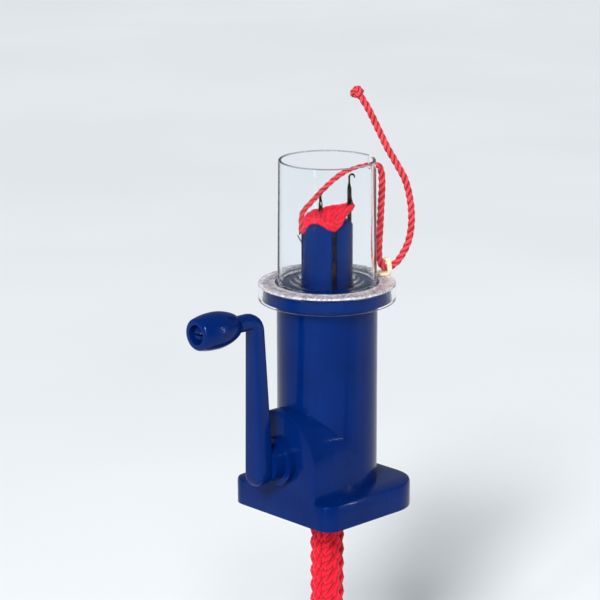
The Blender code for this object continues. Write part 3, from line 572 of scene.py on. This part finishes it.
def make_knitted_cord(look):
    courses = int((CORD_HANGS - CORD_END) / COURSE)
    low = -courses * COURSE
    stitches = knit_stitches(0, courses * STITCHES_ROUND, low, cord_taper)
    end = Vector((0, 0, -CORD_HANGS + CORD_KNOT_UP))
    knot = knot_line(end, CORD_KNOT)
    piece = strands_object("knitted_cord_stitches", look, stitches, knot, radius=KNIT_YARN_R, sides=15)
    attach(piece, "rotor")
    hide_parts("knitted_cord")

    low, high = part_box("inner_cord")
    rows = int((high.z - low.z) / COURSE)
    inner = strands_object("inner_cord_stitches", look,
                           knit_stitches(0, rows * STITCHES_ROUND, low.z), radius=KNIT_YARN_R, sides=9)
    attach(inner, "rotor")
    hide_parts("inner_cord")


def yarn_taper(place):
    """The yarn is pulled thinner where it goes in over the notch."""
    thin = STRAND_R / YARN_R
    return thin + (1.0 - thin) * min(1.0, place / 0.07)


def make_yarn(look):
    route = smooth_route(in_metres(YARN_ROUTE), 0.55 * MM)
    along = (route[-1] - route[-4]).normalized()
    piece = strands_object("yarn_tail", look, route, taper=yarn_taper)
    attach(piece, "housing")
    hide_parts("yarn")
    knot = knot_line(route[-1] - along * MM, YARN_KNOT, along)
    end_knot = strands_object("yarn_end_knot", look, knot, radius=0.72 * YARN_R, sides=15)
    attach(end_knot, "housing")
    path = smooth_route(in_metres(YARN_ROUTE), 2.5 * MM)
    length = sum((b - a).length for a, b in zip(path, path[1:]))
    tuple(path[0])


def make_strand(look):
    """The working yarn inside the guard, from the notch to the hook of needle 1."""
    hook = at_angle(NEEDLE_ANGLES[0], LOOP_R[0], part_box("needle_1")[1].z / MM - LOOP_DROP[0])
    route = smooth_route(in_metres(STRAND_ROUTE[:-1]) + [hook], 0.5 * MM)
    split = route[round(STRAND_SPLIT * (len(route) - 1))]
    outer = strands_object("strand_from_notch", look, route, radius=STRAND_R, span=(0.0, STRAND_SPLIT))
    inner = strands_object("strand_to_needle", look, route, radius=STRAND_R, span=(STRAND_SPLIT, 1.0))
    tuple(route[0])
    route[0].lerp(split, 0.96)
    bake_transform(outer)
    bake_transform(inner)
    for piece in (outer, inner):
        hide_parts("yarn_strand")


# The newest stitches, from the needles down into the cylinder


def wall_top(angle_deg):
    """The height of the cylinder's domed edge at an angle."""
    turn = math.radians(4 * (angle_deg - NEEDLE_ANGLES[0]))
    return CYLINDER_EDGE_Z + DOME_RISE * 0.5 * (1 - math.cos(turn))


def ease(share):
    share = min(max(share, 0.0), 1.0)
    return share * share * (3 - 2 * share)


def rim_point(number, offset_deg):
    """(radius, height) of the knitting's edge near a needle, up to 45 degrees to either side."""
    loop_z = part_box(f"needle_{number}")[1].z / MM - LOOP_DROP[number - 1]
    loop_r = LOOP_R[number - 1]
    side = number - 1 if offset_deg > 0 else number - 2
    share = abs(offset_deg) / 45.0
    height = loop_z + (BETWEEN_Z[side] - loop_z) * ease(share) ** 0.8
    radius = loop_r + (BETWEEN_R[side] - loop_r) * ease(share * 1.25)
    return radius, height


def web_point(number, offset_deg, inward):
    """A point of the knitting between its edge, 0, and the middle of the bore, 1."""
    angle = NEEDLE_ANGLES[number - 1] + offset_deg
    rim_r, rim_z = rim_point(number, offset_deg)
    radius = rim_r + (FUNNEL_R - rim_r) * inward
    line = rim_z + (FUNNEL_Z - rim_z) * inward**1.5
    over = wall_top(angle) + WEB_THICKNESS
    if radius < BORE_R - 0.4:
        over -= 0.9 * (BORE_R - 0.4 - radius) ** 1.2
    crest_r = CYLINDER_R - 1.4
    if radius > crest_r:
        over += (rim_z - over) * ease((radius - crest_r) / max(rim_r - crest_r, 0.01))
    fade = math.sin(math.pi * min(1.0, 1.3 * inward))
    fold = FOLD_HEIGHT * math.cos(math.radians(offset_deg) * 20 + 3 * inward) * fade
    return at_angle(angle, radius, max(line, over) + fold)


def add_web(bm, number):
    """A quarter of the fabric as a thin closed shell, ribbed towards the middle."""
    layer = strand_layer(bm)
    wide, deep = 30, 22
    top = [[web_point(number, -45 + 90 * i / wide, j / deep) for i in range(wide + 1)]
           for j in range(deep + 1)]
    drop = Vector((0, 0, -WEB_THICKNESS * MM))
    upper = [[bm.verts.new(p) for p in row] for row in top]
    lower = [[bm.verts.new(p + drop) for p in row] for row in top]

    def face(corners, places):
        made = bm.faces.new(corners)
        made.smooth = True
        for loop, (i, j) in zip(made.loops, places):
            loop[layer].uv = (i / 6.0, j * 0.0008)

    for j in range(deep):
        for i in range(wide):
            spots = ((i, j), (i + 1, j), (i + 1, j + 1), (i, j + 1))
            face([upper[b][a] for a, b in spots], spots)
            face([lower[b][a] for a, b in reversed(spots)], spots[::-1])
    outline = [(i, 0) for i in range(wide)] + [(wide, j) for j in range(deep)]
    outline += [(wide - i, deep) for i in range(wide)] + [(0, deep - j) for j in range(deep)]
    for (i, j), (m, n) in zip(outline, outline[1:] + outline[:1]):
        face([upper[n][m], upper[j][i], lower[j][i], lower[n][m]], ((m, n), (i, j), (i, j), (m, n)))


def make_newest_stitches(look):
    """One piece for each needle: its stitch round the stem, its legs and its part of the fabric."""
    for number, angle in enumerate(NEEDLE_ANGLES, 1):
        bm = bmesh.new()
        add_web(bm, number)
        rim = []
        for offset in (-45, -36, -27, -18, -11, -5, 0, 5, 11, 18, 27, 36, 45):
            radius, height = rim_point(number, offset)
            rim.append(at_angle(angle + offset, radius, height - 0.2))
        strand(bm, smooth_route(rim, 0.5 * MM), RIM_YARN_R * MM, 15,
               taper=lambda place: 1.0 - 0.32 * math.exp(-(((place - 0.5) / 0.09) ** 2)))
        for offset in LEG_ANGLES:
            leg = [web_point(number, offset * (1 - LEG_CLOSING * step / 7), LEG_START + LEG_REACH * step / 7)
                   for step in range(8)]
            leg = [spot + Vector((0, 0, LEG_LIFT * MM)) for spot in leg]
            strand(bm, smooth_route(leg, 0.6 * MM), RIM_YARN_R * MM, 12)
        mesh = bpy.data.meshes.new(f"knit_loop_{number}")
        bm.to_mesh(mesh)
        bm.free()
        piece = new_object(f"knit_loop_{number}", mesh, look)
        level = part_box(f"needle_{number}")[1].z / MM - LOOP_DROP[number - 1]
        at_angle(angle, 7.4, level)
        at_angle(angle, 11.0, level)
        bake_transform(piece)
        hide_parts("knit_top")


# Needles and latches


def loft(bm, sections, closed_ends=True):
    """Skins closed loops of points, each the same length."""
    made = [[bm.verts.new(p) for p in loop] for loop in sections]
    for low, high in zip(made, made[1:]):
        for i in range(len(low)):
            j = (i + 1) % len(low)
            bm.faces.new((low[i], low[j], high[j], high[i])).smooth = True
    if closed_ends:
        bm.faces.new(reversed(made[0])).smooth = True
        bm.faces.new(made[-1]).smooth = True


def oval(half_a, half_b, square, count=20):
    """Points round a rounded rectangle: square is 2 for an ellipse and higher for flatter sides."""
    points = []
    for i in range(count):
        turn = 2 * math.pi * (i + 0.5) / count
        c, s = math.cos(turn), math.sin(turn)
        points.append((half_a * math.copysign(abs(c) ** (2 / square), c),
                       half_b * math.copysign(abs(s) ** (2 / square), s)))
    return points


def side_view(number):
    """Takes (radius, height, sideways) in millimetres to the needle's place."""
    angle = math.radians(NEEDLE_ANGLES[number - 1])
    out = Vector((math.cos(angle), math.sin(angle), 0))
    across = Vector((-math.sin(angle), math.cos(angle), 0))
    return lambda r, z, w: (out * r + across * w + Vector((0, 0, z))) * MM


def finish_piece(name, bm, material, split=None):
    bmesh.ops.recalc_face_normals(bm, faces=bm.faces)
    mesh = bpy.data.meshes.new(name)
    bm.to_mesh(mesh)
    bm.free()
    if split:
        mesh.set_sharp_from_angle(angle=math.radians(split))
    return new_object(name, mesh, material)


def cut_away(piece, bm, split):
    """Cuts the closed shape in bm out of the piece."""
    tool = finish_piece("tool", bm, piece.data.materials[0])
    step = piece.modifiers.new("cut", "BOOLEAN")
    step.operation = "DIFFERENCE"
    step.solver = "EXACT"
    step.object = tool
    graph = bpy.context.evaluated_depsgraph_get()
    piece.data = bpy.data.meshes.new_from_object(piece.evaluated_get(graph))
    piece.modifiers.clear()
    piece.data.shade_smooth()
    piece.data.set_sharp_from_angle(angle=math.radians(split))
    bpy.data.objects.remove(tool)


def make_needle(number, look):
    """A latch needle: a flat stem with a butt, drawn out to a round hook, slotted for its latch."""
    foot, top = (corner.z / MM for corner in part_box(f"needle_{number}"))
    place = side_view(number)
    middle = (STEM_BACK_R + STEM_FRONT_R) / 2
    deep = (STEM_FRONT_R - STEM_BACK_R) / 2
    wire_r = STEM_BACK_R + 0.3 + HOOK_WIRE_R
    hook = (wire_r + HOOK_R, top - HOOK_WIRE_R - HOOK_R)
    stations = (
        (foot, middle, deep * 0.9, 0.8, 5),
        (foot + 0.3, middle, deep, NEEDLE_HALF_WIDTH, 5),
        (top - 13.5, middle, deep, NEEDLE_HALF_WIDTH, 5),
        (top - 11.0, middle, deep, NEEDLE_HALF_WIDTH, 4.5),
        (top - 6.6, middle, deep, 0.86, 4),
        (top - 5.2, middle - 0.1, 0.62, 0.66, 3),
        (top - 4.2, wire_r, HOOK_WIRE_R, HOOK_WIRE_R, 2),
        (hook[1] - 0.6, wire_r, HOOK_WIRE_R, HOOK_WIRE_R, 2),
    )
    sections = [[place(r + a, z, b) for a, b in oval(half_a, half_b, square)]
                for z, r, half_a, half_b, square in stations]
    steps = 14
    for step in range(steps + 1):
        turn = math.radians(180 - 205 * step / steps)
        size = HOOK_WIRE_R * (1.0 if step < 9 else 1.0 - 0.55 * ((step - 8) / (steps - 8)) ** 1.5)
        section = []
        for a, b in oval(size, size, 2):
            reach = HOOK_R - a
            section.append(place(hook[0] + reach * math.cos(turn), hook[1] + reach * math.sin(turn), b))
        sections.append(section)
    bm = bmesh.new()
    loft(bm, sections)
    butt_middle = (BUTT_TIP_R + STEM_BACK_R) / 2 + 0.2
    butt_half = (BUTT_TIP_R - STEM_BACK_R) / 2 - 0.2
    butt_shape = oval(butt_half, NEEDLE_HALF_WIDTH, 6)
    butt = ((foot + 0.02, 0.94), (foot + 0.3, 1.0),
            (foot + BUTT_HEIGHT - 0.3, 1.0), (foot + BUTT_HEIGHT, 0.94))
    loft(bm, [[place(butt_middle + a * share, z, b * 0.98 * share) for a, b in butt_shape]
              for z, share in butt])
    piece = finish_piece(f"needle_{number}_steel", bm, look)
    pivot_z = top - LATCH_DROP
    slot = bmesh.new()
    half = LATCH_SLOT / 2
    corners = [(STEM_BACK_R - 1, pivot_z - SLOT_BELOW), (STEM_FRONT_R + 1, pivot_z - SLOT_BELOW),
               (STEM_FRONT_R + 1, pivot_z + SLOT_ABOVE), (STEM_BACK_R - 1, pivot_z + SLOT_ABOVE)]
    loft(slot, [[place(r, z, w) for r, z in corners] for w in (-half, half)])
    cut_away(piece, slot, 32)
    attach(piece, f"needle_{number}")
    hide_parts(f"needle_{number}")


def make_latch(number, look):
    """A latch: an eye on the pivot and a thin blade that ends in a spoon."""
    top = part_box(f"needle_{number}")[1].z / MM
    place = side_view(number)
    pivot = ((STEM_BACK_R + STEM_FRONT_R) / 2, top - LATCH_DROP)
    lean = math.radians(90.0 - LATCH_REST_DEG[number - 1])

    def turned(along, across, w):
        r = pivot[0] + along * math.cos(lean) - across * math.sin(lean)
        z = pivot[1] + along * math.sin(lean) + across * math.cos(lean)
        return place(r, z, w)

    blade = ((0.4, 0.42, 0.24), (1.2, 0.34, 0.24), (3.4, 0.26, 0.24), (4.8, 0.24, 0.27), (5.5, 0.24, 0.46),
             (6.0, 0.23, 0.60), (6.4, 0.20, 0.56), (6.62, 0.14, 0.36), (LATCH_LENGTH, 0.06, 0.12))
    bm = bmesh.new()
    loft(bm, [[turned(along, a, b) for a, b in oval(half_a, half_b, 2.4, 16)]
              for along, half_a, half_b in blade])
    turns = [2 * math.pi * i / 28 for i in range(28)]
    eye = [(LATCH_EYE_R * math.cos(turn), LATCH_EYE_R * math.sin(turn)) for turn in turns]
    levels = ((-0.25, 0.9), (-0.2, 1.0), (0.2, 1.0), (0.25, 0.9))
    loft(bm, [[turned(a * share, b * share, w) for a, b in eye] for w, share in levels])
    piece = finish_piece(f"latch_{number}_spoon", bm, look, 40)
    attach(piece, f"latch_{number}")
    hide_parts(f"latch_{number}")


# Clear guard and yarn guide


def lathe(bm, profile, count):
    """Turns a closed profile of (radius, height), in millimetres, about the vertical axis."""
    rows = []
    for radius, z in profile:
        turns = (2 * math.pi * i / count for i in range(count))
        spots = (Vector((radius * math.cos(t), radius * math.sin(t), z)) * MM for t in turns)
        rows.append([bm.verts.new(spot) for spot in spots])
    for low, high in zip(rows, rows[1:] + rows[:1]):
        for i in range(count):
            j = (i + 1) % count
            bm.faces.new((low[i], low[j], high[j], high[i])).smooth = True


def rounded(corner, before, after, size, steps=4):
    """Points that round a profile's corner off, from towards before to towards after."""
    corner, before, after = Vector(corner), Vector(before), Vector(after)
    start = corner + (before - corner).normalized() * size
    end = corner + (after - corner).normalized() * size
    points = []
    for i in range(steps + 1):
        t = i / steps
        points.append(tuple((1 - t) ** 2 * start + 2 * t * (1 - t) * corner + t**2 * end))
    return points


def round_profile(corners):
    """A closed profile from (radius, height, rounding) corners."""
    profile = []
    for i, (r, z, size) in enumerate(corners):
        before = corners[i - 1][:2]
        after = corners[(i + 1) % len(corners)][:2]
        profile += rounded((r, z), before, after, size) if size else [(r, z)]
    return profile


def make_guard(clear, cloudy, edge):
    """The clear cover: a thin tapered tube on a wide flange with a skirt round the head."""
    rim_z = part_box("clear_guard")[1].z / MM
    neck = GUARD_NECK_R
    corners = (
        (neck, FLANGE_UNDER, 0.3), (SKIRT_INNER_R, FLANGE_UNDER, 0), (SKIRT_INNER_R, SKIRT_Z, 0.4),
        (FLANGE_R, SKIRT_Z, 0.6), (FLANGE_R, FLANGE_TOP, 0.9),
        (GROOVE_R[0], FLANGE_TOP, 0), (GROOVE_R[1], FLANGE_TOP - 0.25, 0), (GROOVE_R[2], FLANGE_TOP, 0),
        (GUARD_FOOT_R, FLANGE_TOP + 0.05, 1.1), (GUARD_TOP_R, rim_z, 0.45),
        (GUARD_TOP_R - GUARD_WALL, rim_z, 0.45), (GUARD_FOOT_R - GUARD_WALL, FLANGE_TOP, 1.0),
        (neck + 4.2, FLANGE_TOP, 0.3), (neck + 4.0, FLANGE_TOP + 0.9, 0.3),
        (neck + 2.0, FLANGE_TOP + 0.95, 0.3), (neck + 1.8, FLANGE_TOP + 1.9, 0.4),
        (neck, FLANGE_TOP + 1.9, 0.5),
    )
    bm = bmesh.new()
    lathe(bm, round_profile(corners), 160)
    piece = finish_piece("guard_shell", bm, clear, 50)
    piece.data.materials.append(cloudy)
    piece.data.materials.append(edge)
    out = Matrix.Rotation(math.radians(NOTCH_DEG), 4, "Z")
    notch = bmesh.new()
    half, low = NOTCH_WIDTH / 2, rim_z - NOTCH_DEPTH
    outline = rounded((-half, low), (-half, rim_z), (half, low), 1.2, 6)
    outline += rounded((half, low), (-half, low), (half, rim_z), 1.2, 6)
    outline += [(half, rim_z + 2), (-half, rim_z + 2)]
    loft(notch, [[out @ (Vector((r, y, z)) * MM) for y, z in outline]
                 for r in (GUARD_TOP_R - 5, GUARD_FOOT_R + 3)])
    cut_away(piece, notch, 50)
    for face in piece.data.polygons:
        spot = face.center / MM
        reach = math.hypot(spot.x, spot.y)
        if spot.z > FLANGE_UNDER + CLOUDY_ABOVE and reach > GUARD_FOOT_R + CLOUDY_OUTSIDE:
            face.material_index = 1
        # The band at the top of the rim takes the dark tinted material: a painted dark edge line.
        elif spot.z > rim_z - PAINTED_DARK_RIM_BAND:
            face.material_index = 2
    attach(piece, "housing")
    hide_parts("clear_guard")


def make_guide(look):
    """The yarn guide: a rounded eyelet with two small horns on a flat foot."""
    turn = Matrix.Rotation(math.radians(GUIDE_DEG), 4, "Z")
    bm = bmesh.new()
    outer = GUIDE_HOLE_R + GUIDE_RIM
    half = GUIDE_THICKNESS / 2
    count = 40
    loops = []
    section = oval(half, GUIDE_RIM / 2, 2.6, 16)
    for i in range(count):
        angle = 2 * math.pi * i / count
        ring = []
        for a, b in section:
            reach = (outer + GUIDE_HOLE_R) / 2 + b
            ring.append(turn @ (Vector((GUIDE_R + a, reach * math.cos(angle),
                                        GUIDE_Z + reach * math.sin(angle))) * MM))
        loops.append(ring)
    loft(bm, loops + loops[:1], closed_ends=False)
    bmesh.ops.remove_doubles(bm, verts=bm.verts, dist=1e-7)
    foot_low = FLANGE_TOP + 0.3
    inner_x = GUIDE_PEG_R - 2.0
    outer_x = GUIDE_R + half
    plate = ((foot_low, 0.97), (foot_low + 0.2, 1.0), (foot_low + 1.0, 1.0), (foot_low + 1.2, 0.95))
    middle = Vector(((inner_x + outer_x) / 2, 0, 0))
    loft(bm, [[turn @ ((middle + Vector((a * share, b * share, z))) * MM)
               for a, b in oval((outer_x - inner_x) / 2, GUIDE_FOOT_HALF, 5)] for z, share in plate])
    for side in (-1, 1):
        horn = []
        for step in range(7):
            share = step / 6
            size = HORN_R * (1 - 0.45 * share)
            spot = Vector((GUIDE_R, side * (2.9 + 1.1 * share),
                           foot_low + 0.7 + HORN_RISE * share**0.8))
            horn.append([turn @ ((spot + Vector((a, b, 0))) * MM) for a, b in oval(size, size, 2, 14)])
        loft(bm, horn)
    piece = finish_piece("guide_eyelet", bm, look, 45)
    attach(piece, "housing")
    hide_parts("yarn_guide")


# Stage


def area_light(name, place, size, power):
    data = bpy.data.lights.new(name, "AREA")
    data.shape = "RECTANGLE"
    data.size, data.size_y = size
    data.energy = power
    light = bpy.data.objects.new(name, data)
    light.location = place
    light.rotation_euler = (LIGHTS_AIM - Vector(place)).to_track_quat("-Z", "Y").to_euler()
    bpy.context.scene.collection.objects.link(light)


def make_stage():
    floor_mesh = bpy.data.meshes.new("floor")
    bm = bmesh.new()
    bmesh.ops.create_grid(bm, x_segments=8, y_segments=8, size=5.0)
    bm.to_mesh(floor_mesh)
    bm.free()
    look = Look("floor_paper", (0.80, 0.82, 0.84), 0.95, Specular_IOR_Level=0.0)
    paper = look.noise(look.place(), 3.0, 2.0)
    look.join(look.colors(paper, (0.3, (0.78, 0.80, 0.82)), (0.7, (0.82, 0.84, 0.86))), "Base Color")
    floor = new_object("floor", floor_mesh, look.material)
    floor.location.z = FLOOR_Z
    floor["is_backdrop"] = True

    world = bpy.data.worlds.new("studio")
    bpy.context.scene.world = world
    world.use_nodes = True
    sky = world.node_tree.nodes["Background"]
    sky.inputs["Color"].default_value = SKY_COLOR
    sky.inputs["Strength"].default_value = SKY_STRENGTH

    sun = bpy.data.lights.new("sun", "SUN")
    sun.energy = SUN_STRENGTH
    sun.angle = SUN_ANGLE
    sun_object = bpy.data.objects.new("sun", sun)
    sun_object.rotation_euler = SUN_DIRECTION.to_track_quat("-Z", "Y").to_euler()
    bpy.context.scene.collection.objects.link(sun_object)
    for light in AREA_LIGHTS:
        area_light(*light)


def make_camera():
    data = bpy.data.cameras.new("camera")
    data.lens = CAMERA_LENS
    data.sensor_width = 36.0
    data.shift_x, data.shift_y = CAMERA_SHIFT
    data.clip_start = 0.05
    camera = bpy.data.objects.new("camera", data)
    back = Vector((math.sin(CAMERA_AZIMUTH) * math.cos(CAMERA_ELEVATION),
                   -math.cos(CAMERA_AZIMUTH) * math.cos(CAMERA_ELEVATION),
                   math.sin(CAMERA_ELEVATION)))
    camera.location = CAMERA_TARGET + back * CAMERA_DISTANCE
    camera.rotation_euler = (math.pi / 2 - CAMERA_ELEVATION, 0, CAMERA_AZIMUTH)
    bpy.context.scene.collection.objects.link(camera)
    bpy.context.scene.camera = camera
    bpy.context.scene.view_settings.view_transform = "Standard"


# The moulded and metal parts that keep their CAD shapes


def keep_node(name, material):
    """A CAD node with a finished material, smooth faces and sharp edges where they meet."""
    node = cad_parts[name]
    node.data.materials.clear()
    node.data.materials.append(material)
    for face in node.data.polygons:
        face.use_smooth = True
    weld = node.modifiers.new("weld", "WELD")
    weld.merge_threshold = 1e-6
    split = node.modifiers.new("sharp", "EDGE_SPLIT")
    split.split_angle = math.radians(32.0)


def dress_nodes(looks):
    for name in ("main_housing", "bottom_cover", "crank_arm", "grip", "needle_cylinder", "upper_cam"):
        keep_node(name, looks["navy"])
    for name in ("cord_tube", "lower_cam", "shaft_bush", "drive_gear", "crown_gear"):
        keep_node(name, looks["inner"])
    for name in ("crank_shaft", "gear_washer", "gear_screw"):
        keep_node(name, looks["steel"])
    for number in range(1, 5):
        keep_node(f"cover_screw_{number}", looks["steel"])
        keep_node(f"latch_pin_{number}", looks["needle"])


def main():
    looks = make_materials()
    make_camera()
    make_stage()
    make_yarn(looks["yarn"])
    make_strand(looks["yarn"])
    make_knitted_cord(looks["knit"])
    make_newest_stitches(looks["knit"])
    for number in range(1, 5):
        make_needle(number, looks["needle"])
        make_latch(number, looks["needle"])
    make_guard(looks["guard"], looks["flange"], looks["rim"])
    make_guide(looks["guide"])
    dress_nodes(looks)


main()

boxes = {"cad": CAD_BOX, "visual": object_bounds()}
{key: [list(corner) for corner in box] for key, box in boxes.items()}
